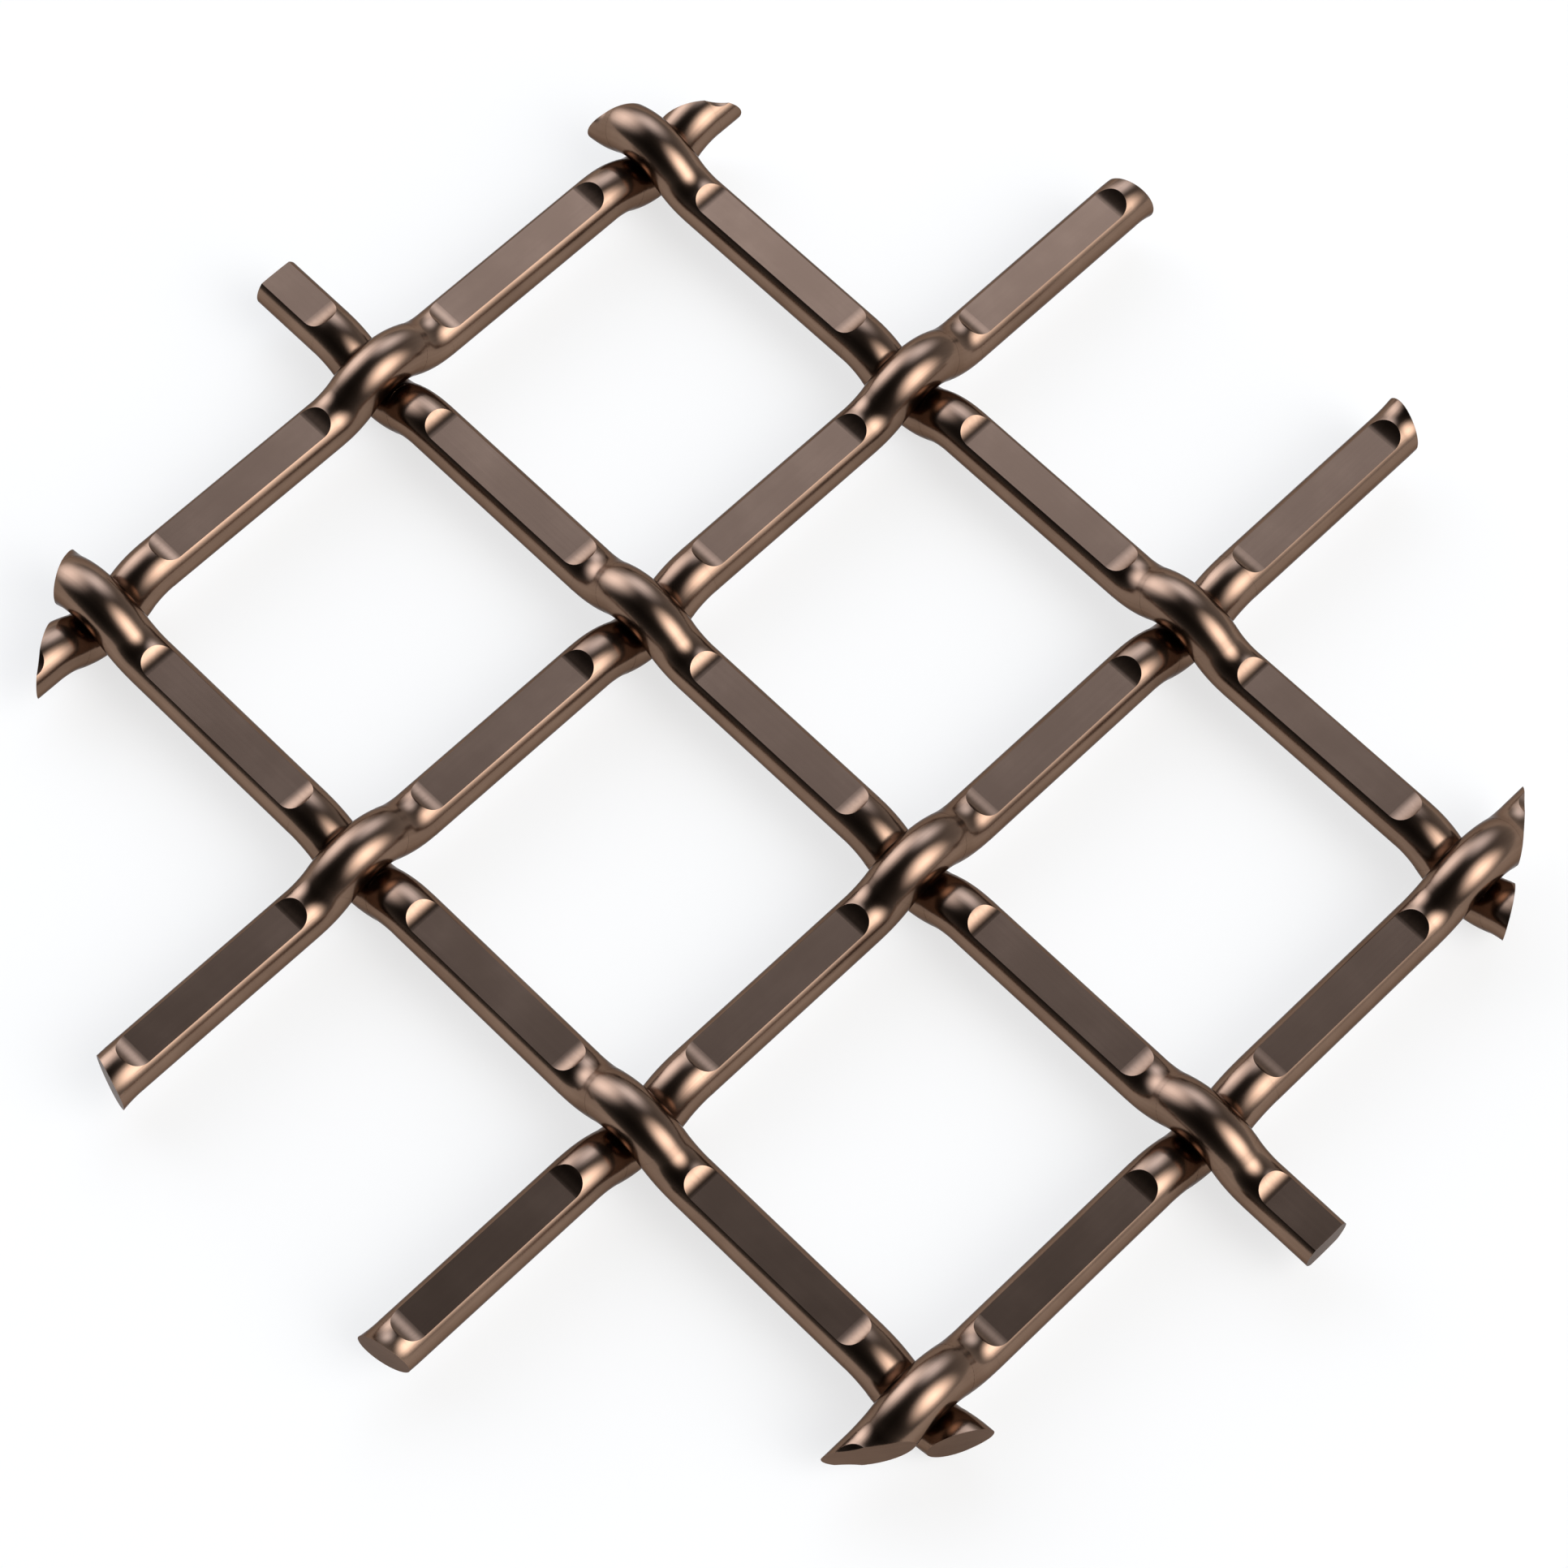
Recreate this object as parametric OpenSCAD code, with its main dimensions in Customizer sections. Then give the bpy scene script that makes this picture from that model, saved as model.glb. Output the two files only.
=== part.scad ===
// Round cut of a decorative woven wire grille.
// Four warp wires run along X and three weft wires along Y, over and under each other in turn.
// Every wire is crimped round the wires it crosses, and coined flat, top and bottom, in between.
// The origin is on the disc's axis, in the plane that the lowest crimps rest on.

/* [Mesh] */
// Diameter of the round wire
wire_d = 3.175; // [2.8:0.005:3.4]
// Clear opening between two neighbouring wires
opening = 19.05; // [18.5:0.05:19.6]
// Diameter of the round sheet
sheet_d = 85.15; // [82:0.05:90]

/* [Crimp] */
// Radius of every bend, measured to the middle of the wire
bend_r = 3.4; // [3.2:0.05:4]
// Length of the straight slope between a bend and its counter-bend
slope_len = 0.4; // [0.35:0.05:0.8]
// Clearance between two wires where one crosses the other
cross_gap = 0.04; // [0.02:0.01:0.1]

/* [Coined flats] */
// Thickness left between the two flats of a wire
flat_t = 2.33; // [2.1:0.01:2.6]
// Length of a flat, between its two end ramps
flat_len = 11.25; // [10:0.05:11.5]
// Radius of the ramp at each end of a flat
ramp_r = 1.6; // [1:0.05:1.8]

/* [Hidden] */
$fn = 96;
bronze = "#6a5648";
warp_count = 4;
weft_count = 3;
pitch = opening + wire_d;
// Bending thins the wire a little
bend_thinning = 0.01;
bend_d = wire_d - bend_thinning;
// Height of a crest's middle above or below the middle plane of the sheet
crest_h = (bend_d + cross_gap) / 2;
// Angle of the slope between a bend and its counter-bend
slope = acos((2 * bend_r - crest_h) / norm([2 * bend_r, slope_len])) - atan(slope_len / (2 * bend_r));
// Distance from a crossing to where the wire is straight again
crimp_run = 2 * bend_r * sin(slope) + slope_len * cos(slope);
// How far a bend reaches into the straight bar at either end
bend_lap = 0.1;
lap_angle = asin(bend_lap / bend_r);
// Height of the middle plane above the plane that the lowest crimps rest on
mid_z = crest_h + bend_d / 2;

// Where the middle of wire i of a family lies, counted from the top or the right
function lane(i, count) = ((count + 1) / 2 - i) * pitch;

// Places where a wire is crimped: at each wire it crosses, and one pitch past the last on each side
function crossings(count) = [for (k = [0 : count + 1]) lane(k, count)];

// 1 where warp wire i passes over weft wire j, and -1 where it passes under
function warp_side(i, j) = (i + j) % 2 == 1 ? 1 : -1;

// One bend: a round bar that turns through the angle turn, from the angle start, about Y
module bend(start, turn) {
    rotate([90, 0, 0]) rotate([0, 0, start - lap_angle])
        rotate_extrude(angle = turn + 2 * lap_angle)
            translate([bend_r, 0]) circle(d = bend_d);
}

// A straight round bar along X, centred on the origin
module bar(length) {
    rotate([0, 90, 0]) cylinder(h = length, d = wire_d, center = true);
}

// One crimp at the origin, up for side 1 and down for side -1: a bend, two slopes and two counter-bends
module crimp(side) {
    mirror([0, 0, side > 0 ? 0 : 1]) {
        translate([0, 0, crest_h - bend_r]) bend(90 - slope, 2 * slope);
        for (way = [-1, 1]) {
            translate([way * crimp_run / 2, 0, crest_h / 2])
                rotate([0, way * slope, 0]) bar(slope_len);
            translate([way * crimp_run, 0, bend_r])
                bend(way > 0 ? 270 - slope : 270, slope);
        }
    }
}

// What coining removes above a span: a plate with a round edge at each end
module coin() {
    translate([0, wire_d / 2, flat_t / 2])
        rotate([90, 0, 0]) linear_extrude(wire_d) {
            translate([-flat_len / 2, 0]) square([flat_len, ramp_r]);
            for (way = [-1, 1]) translate([way * flat_len / 2, ramp_r]) circle(r = ramp_r);
        }
}

// A whole wire along X with its middle on the origin: sides[k] tells which way crimp k goes
module crimped_wire(places, sides) {
    last = len(places) - 1;
    difference() {
        union() {
            for (k = [0 : last]) translate([places[k], 0, 0]) crimp(sides[k]);
            for (k = [1 : last]) translate([places[k] + pitch / 2, 0, 0]) bar(pitch - 2 * crimp_run);
        }
        for (k = [1 : last], under = [0, 1])
            translate([places[k] + pitch / 2, 0, 0]) mirror([0, 0, under]) coin();
    }
}

// Keeps what is inside the round outline of the sheet, and lifts it onto the resting plane
module trimmed() {
    intersection() {
        translate([0, 0, mid_z]) children();
        cylinder(h = 2 * mid_z, d = sheet_d);
    }
}

module warp_wire(i) {
    sides = [for (j = [0 : weft_count + 1]) warp_side(i, j)];
    color(bronze) trimmed() translate([0, lane(i, warp_count), 0])
        crimped_wire(crossings(weft_count), sides);
}

module weft_wire(j) {
    sides = [for (i = [0 : warp_count + 1]) -warp_side(i, j)];
    color(bronze) trimmed() translate([lane(j, weft_count), 0, 0]) rotate([0, 0, 90])
        crimped_wire(crossings(warp_count), sides);
}

for (i = [1 : warp_count])
    warp_wire(i);
for (j = [1 : weft_count])
    weft_wire(j);
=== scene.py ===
import math
import bpy
from mathutils import Matrix, Vector

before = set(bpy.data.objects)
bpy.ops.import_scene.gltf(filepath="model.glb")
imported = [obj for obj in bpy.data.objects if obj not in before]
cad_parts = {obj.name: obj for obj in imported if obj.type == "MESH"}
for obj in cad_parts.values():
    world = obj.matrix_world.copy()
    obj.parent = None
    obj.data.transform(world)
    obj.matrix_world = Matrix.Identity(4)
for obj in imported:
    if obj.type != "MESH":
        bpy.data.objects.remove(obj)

for start_up in ("Cube", "Light", "Camera"):
    if start_up in bpy.data.objects:
        bpy.data.objects.remove(bpy.data.objects[start_up])
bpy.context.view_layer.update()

# The view: a long lens looks steeply down on the sheet from above its lower edge in the photograph.
# It is aimed at the middle plane of the mesh, a little beside the middle of the disc.
camera_aim = Vector((-0.00162, -0.00208, 0.00318))
camera_azimuth = math.radians(47.218)
camera_height = math.radians(64.996)
camera_roll = math.radians(2.614)
camera_distance = 0.27588


def way_to(azimuth, height):
    """The way out from the sheet at an azimuth, clockwise from +Y, and a height above the floor."""
    level = math.cos(height)
    return Vector((math.sin(azimuth) * level, math.cos(azimuth) * level, math.sin(height)))


camera_data = bpy.data.cameras.new("camera")
camera_data.sensor_width = 36.0
camera_data.lens = 111.063
camera = bpy.data.objects.new("camera", camera_data)
bpy.context.scene.collection.objects.link(camera)
sight = way_to(camera_azimuth, -camera_height)
camera.matrix_world = (Matrix.Translation(camera_aim - sight * camera_distance)
                       @ sight.to_track_quat("-Z", "Y").to_matrix().to_4x4()
                       @ Matrix.Rotation(camera_roll, 4, "Z"))
bpy.context.scene.camera = camera


# Warp wires: four drawn steel wires along X with a satin dark bronze plating. A die crimps them
# over and under the weft wires, and a press coins them flat, above and below, between two crossings.
wire_radius = 0.0015875
pitch = 0.022225
bend_radius = 0.0034
slope_length = 0.0004
crest_height = 0.0016025
middle_height = 0.003185
flat_height = 0.001165
disc_radius = 0.042575
slope = (math.acos((2 * bend_radius - crest_height) / math.hypot(2 * bend_radius, slope_length))
         - math.atan(slope_length / (2 * bend_radius)))
crimp_run = 2 * bend_radius * math.sin(slope) + slope_length * math.cos(slope)

plating_pale = (0.226, 0.147, 0.105, 1)
plating_deep = (0.177, 0.113, 0.080, 1)
plating_edge_tint = (0.41, 0.40, 0.40, 1)
cloud_scale = 260
cloud_share = 0.65
line_share = 0.35
tone_low = 0.30
tone_high = 0.70
draw_line_scale = 4200
draw_line_stretch = 0.012
cut_line_scale = 5200
cut_line_stretch = 0.05
line_depth = 0.000002
burnish = 0.55
plain_roughness = 0.155
cloud_roughness = 0.05
line_roughness = 0.03
burnish_shine = 0.02
cut_roughness = 0.09

# How near a point must be to a flat, to the cut edge or to the skin of the wire to count as on it
flat_sure = 0.00001
flat_limit = 0.00005
flat_end = 0.0002
cut_limit = 0.00006
cut_sure = 0.00002
skin_depth = 0.000025
# How well a facet must face along the true way out to count as round, or how badly to be a step
round_agreement = 0.95
step_agreement = 0.3


class Value:
    """An output of a node. Arithmetic on it adds Math nodes to its node tree."""

    def __init__(self, output):
        self.output = output

    @staticmethod
    def node(tree, kind, settings, sockets):
        """Adds a node, with its settings first, then the values or links of its sockets."""
        made = tree.nodes.new(kind)
        for name, setting in settings.items():
            setattr(made, name, setting)
        for key, value in sockets.items():
            if isinstance(key, str):
                socket = next(s for s in made.inputs if s.enabled and s.name == key)
            else:
                socket = made.inputs[key]
            if isinstance(value, Value):
                tree.links.new(value.output, socket)
            else:
                socket.default_value = value
        return {output.name: Value(output) for output in made.outputs if output.enabled}

    def math(self, operation, *others):
        sockets = dict(enumerate((self,) + others))
        return Value.node(self.output.id_data, "ShaderNodeMath", {"operation": operation}, sockets)["Value"]

    def __add__(self, other):
        return self.math("ADD", other)

    def __sub__(self, other):
        return self.math("SUBTRACT", other)

    def __mul__(self, other):
        return self.math("MULTIPLY", other)

    def __rsub__(self, other):
        return Value.node(self.output.id_data, "ShaderNodeMath", {"operation": "SUBTRACT"},
                          {0: other, 1: self})["Value"]

    __radd__ = __add__
    __rmul__ = __mul__

    def step(self, low, high):
        """0 below low, 1 above high and a smooth rise between them. It falls where low is above high."""
        sockets = {"Value": self, "From Min": low, "From Max": high}
        return Value.node(self.output.id_data, "ShaderNodeMapRange", {"interpolation_type": "SMOOTHSTEP"},
                          sockets)["Result"]


def noise(tree, place, scale, detail):
    """Soft noise with its middle at 0.5."""
    sockets = {"Vector": place, "Scale": scale, "Detail": detail, "Roughness": 0.55}
    return Value.node(tree, "ShaderNodeTexNoise", {}, sockets)["Fac"]


def joined(tree, x, y, z):
    """A vector from three values or numbers."""
    return Value.node(tree, "ShaderNodeCombineXYZ", {}, {"X": x, "Y": y, "Z": z})["Vector"]


def bronze_plating(name, runs_along_x):
    """The plating of the wires along X or along Y, which shows the exact round of the crimped wire."""
    material = bpy.data.materials.new(name)
    material.use_nodes = True
    tree = material.node_tree
    place = Value.node(tree, "ShaderNodeTexCoord", {}, {})["Object"]
    axes = Value.node(tree, "ShaderNodeSeparateXYZ", {}, {"Vector": place})
    x, y, z = axes["X"], axes["Y"], axes["Z"]
    if runs_along_x:
        along, across = x, y
        first_crossing = 0.0
        first_side = -1.0
    else:
        along, across = y, x
        first_crossing = pitch / 2
        first_side = 1.0

    # Where the point lies on the crimp: how far from the crossing, how far beside the wire's middle,
    # and how high on the side that the crest is on
    signed_run = (along - first_crossing).math("WRAP", pitch / 2, -pitch / 2)
    run = signed_run.math("ABSOLUTE")
    beside = (across + first_crossing - pitch / 2).math("WRAP", pitch / 2, -pitch / 2)
    turn = math.pi / pitch
    side = ((y * turn).math("SINE") * (x * turn).math("COSINE") * first_side).math("SIGN")
    height = (z - middle_height) * side
    over_centre = height + (bend_radius - crest_height)

    # How much the wire leans there, and the height above its middle, square to it
    crest_turn = run.math("ARCTAN2", over_centre)
    foot_turn = (crimp_run - run).math("ARCTAN2", bend_radius - height)
    lean = crest_turn.math("MINIMUM", foot_turn).math("MINIMUM", slope).math("MAXIMUM", 0.0)
    level = lean.math("COSINE")
    fall = lean.math("SINE")
    on_crest = crest_turn.math("LESS_THAN", slope)
    up_on_crest = run * fall + over_centre * level - bend_radius
    up_on_foot = (run - crimp_run) * fall + (height - bend_radius) * level + bend_radius
    up = (up_on_foot + (up_on_crest - up_on_foot) * on_crest) * side

    # The true way out of the round wire, and how well the facet of the mesh agrees with it
    outward = fall * up * side * signed_run.math("SIGN")
    if runs_along_x:
        way_out = joined(tree, outward, beside, level * up)
    else:
        way_out = joined(tree, beside, outward, level * up)
    way_out = Value.node(tree, "ShaderNodeVectorTransform",
                         {"vector_type": "NORMAL", "convert_from": "OBJECT", "convert_to": "WORLD"},
                         {"Vector": way_out})["Vector"]
    facet = Value.node(tree, "ShaderNodeNewGeometry", {}, {})
    agreement = Value.node(tree, "ShaderNodeVectorMath", {"operation": "DOT_PRODUCT"},
                           {0: way_out, 1: facet["True Normal"]})["Value"]

    # Draw lines along the wire, and the slow cloudiness of the plating
    draw_lines = noise(tree, joined(tree, along * draw_line_stretch, across, up), draw_line_scale, 3)
    clouds = noise(tree, place, cloud_scale, 4)

    # Coined flats, burnished by the press, and cut ends, with cutting lines level round the disc
    flat_gap = ((z - middle_height).math("ABSOLUTE") - flat_height).math("ABSOLUTE")
    flat = flat_gap.step(flat_limit, flat_sure) * run.step(crimp_run, crimp_run + flat_end)
    radius = (x * x + y * y).math("SQRT")
    cut = radius.step(disc_radius - cut_limit, disc_radius - cut_sure)
    round_disc = y.math("ARCTAN2", x) * disc_radius
    cut_lines = noise(tree, joined(tree, round_disc * cut_line_stretch, z, 0.0), cut_line_scale, 3)

    lines = draw_lines * (1 - flat * burnish) * (1 - cut) + cut_lines * cut
    tone = (clouds * cloud_share + lines * line_share).step(tone_low, tone_high)
    colour = Value.node(tree, "ShaderNodeMix", {"data_type": "RGBA"},
                        {"Factor": tone, "A": plating_deep, "B": plating_pale})["Result"]
    roughness = (plain_roughness + clouds * cloud_roughness + lines * line_roughness
                 - flat * burnish_shine + cut * cut_roughness)

    # At the skin of the wire the true way out smooths the facets and the hair-thin steps at the bends
    at_skin = (up * up + beside * beside).math("SQRT").math("GREATER_THAN", wire_radius - skin_depth)
    on_step = agreement.math("LESS_THAN", step_agreement) * (1 - cut)
    on_round = at_skin * agreement.math("GREATER_THAN", round_agreement).math("MAXIMUM", on_step)
    smooth = Value.node(tree, "ShaderNodeMix", {"data_type": "VECTOR"},
                        {"Factor": on_round, "A": facet["Normal"], "B": way_out})["Result"]
    relief = Value.node(tree, "ShaderNodeBump", {},
                        {"Strength": 1.0, "Distance": line_depth, "Height": lines, "Normal": smooth})

    shader = tree.nodes["Principled BSDF"]
    shader.inputs["Metallic"].default_value = 1.0
    shader.inputs["Specular Tint"].default_value = plating_edge_tint
    tree.links.new(colour.output, shader.inputs["Base Color"])
    tree.links.new(roughness.output, shader.inputs["Roughness"])
    tree.links.new(relief["Normal"].output, shader.inputs["Normal"])
    return material


warp_plating = bronze_plating("bronze_plating_warp", True)
for number in (1, 2, 3, 4):
    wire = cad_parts["warp_wire_%d" % number]
    for material_slot in wire.material_slots:
        material_slot.material = warp_plating


# Weft wires: three drawn wires along Y of the same plated steel. They are crimped and coined as the
# warp wires are, and lie in their crimps, over one and under the next.
weft_plating = bronze_plating("bronze_plating_weft", False)
for number in (1, 2, 3):
    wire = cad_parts["weft_wire_%d" % number]
    for material_slot in wire.material_slots:
        material_slot.material = weft_plating


# Floor: a wide sheet of matt white paper that the grille sheet lies on. Where it is seen, also in a
# reflection, most of its white is a glow of its own, and the rest shows the lamps and the shadow.
floor_half = 20.0
floor_glow = 0.7
paper_white = (0.8, 0.79, 0.775, 1)
corners = [(-floor_half, -floor_half, 0), (floor_half, -floor_half, 0),
           (floor_half, floor_half, 0), (-floor_half, floor_half, 0)]
floor_mesh = bpy.data.meshes.new("floor")
floor_mesh.from_pydata(corners, [], [(0, 1, 2, 3)])
floor = bpy.data.objects.new("floor", floor_mesh)
bpy.context.scene.collection.objects.link(floor)
paper = bpy.data.materials.new("paper")
paper.use_nodes = True
tree = paper.node_tree
matt = tree.nodes["Principled BSDF"]
matt.inputs["Base Color"].default_value = paper_white
matt.inputs["Roughness"].default_value = 1.0
matt.inputs["Specular IOR Level"].default_value = 0.0
rays = Value.node(tree, "ShaderNodeLightPath", {}, {})
seen = rays["Is Camera Ray"].math("MAXIMUM", rays["Is Glossy Ray"])
seen = seen.math("MAXIMUM", rays["Is Transmission Ray"])
white = Value.node(tree, "ShaderNodeEmission", {}, {"Color": (1, 1, 1, 1), "Strength": 1.0})["Emission"]
lit_paper = Value.node(tree, "ShaderNodeMixShader", {},
                       {0: seen * floor_glow, 1: Value(matt.outputs["BSDF"]), 2: white})["Shader"]
tree.links.new(lit_paper.output, tree.nodes["Material Output"].inputs["Surface"])
floor_mesh.materials.append(paper)


# Softboxes: three large lamps round the sheet, each brightest in its middle and fading to its edge.
# Their sides are turned clockwise from the camera's line of sight.
lamp_level = 0.7
lamp_distance = 1.5
softbox_fade = 16.0


def softbox(name, side, height, glow, width, depth, colour):
    """A lamp at a side and a height in degrees. Its width and depth are shares of its distance."""
    data = bpy.data.lights.new(name, "AREA")
    data.shape = "RECTANGLE"
    data.size = width * lamp_distance
    data.size_y = depth * lamp_distance
    data.energy = glow * lamp_level * math.pi * data.size * data.size_y
    data.color = colour
    data.use_nodes = True
    tree = data.node_tree
    place = Value.node(tree, "ShaderNodeNewGeometry", {}, {})["Parametric"]
    off_middle = Value.node(tree, "ShaderNodeVectorMath", {"operation": "SUBTRACT"},
                            {0: place, 1: (0.5, 0.5, 0.0)})["Vector"]
    spread = Value.node(tree, "ShaderNodeVectorMath", {"operation": "DOT_PRODUCT"},
                        {0: off_middle, 1: off_middle})["Value"]
    glow_left_at_edge = math.exp(-softbox_fade * 0.5 ** 2)
    fade = ((spread * -softbox_fade).math("EXPONENT") - glow_left_at_edge).math("MAXIMUM", 0.0)
    tree.links.new(fade.output, tree.nodes["Emission"].inputs["Strength"])
    lamp = bpy.data.objects.new(name, data)
    bpy.context.scene.collection.objects.link(lamp)
    way = way_to(camera_azimuth + math.radians(side), math.radians(height))
    lamp.matrix_world = (Matrix.Translation(way * lamp_distance)
                         @ way.to_track_quat("Z", "Y").to_matrix().to_4x4())
    lamp.visible_camera = False


softbox("right_softbox", 116.9, 43.3, 10.1, 1.74, 2.0, (1.0, 1.0, 1.0))
softbox("left_softbox", -48.1, 23.0, 6.6, 1.93, 2.03, (0.93, 1.0, 1.12))
softbox("far_softbox", 2.0, 39.9, 4.4, 1.37, 1.63, (0.88, 1.0, 1.19))


# Studio: a dim room round the softboxes. Its walls are a little lighter to the right and low down,
# and dark behind the camera's left.
light_side = way_to(camera_azimuth + math.radians(52), math.radians(-23.5))
light_side_glow = 0.8
light_side_fade = 1.44
low_glow = 0.3
low_fade = 4.5
room_shade = 0.042
room_tint = (0.97, 1.0, 1.03, 1)
room = bpy.data.worlds.new("studio")
bpy.context.scene.world = room
room.use_nodes = True
tree = room.node_tree
direction = Value.node(tree, "ShaderNodeTexCoord", {}, {})["Generated"]
facing = Value.node(tree, "ShaderNodeVectorMath", {"operation": "DOT_PRODUCT"},
                    {0: direction, 1: light_side})["Value"]
above = Value.node(tree, "ShaderNodeSeparateXYZ", {}, {"Vector": direction})["Z"].math("MAXIMUM", 0.0)
side_glow = (facing * light_side_fade - light_side_fade).math("EXPONENT") * light_side_glow
room_glow = side_glow + (above * -low_fade).math("EXPONENT") * low_glow - room_shade
tree.links.new((room_glow * lamp_level).output, tree.nodes["Background"].inputs["Strength"])
tree.nodes["Background"].inputs["Color"].default_value = room_tint

bpy.context.scene.view_settings.view_transform = "Standard"
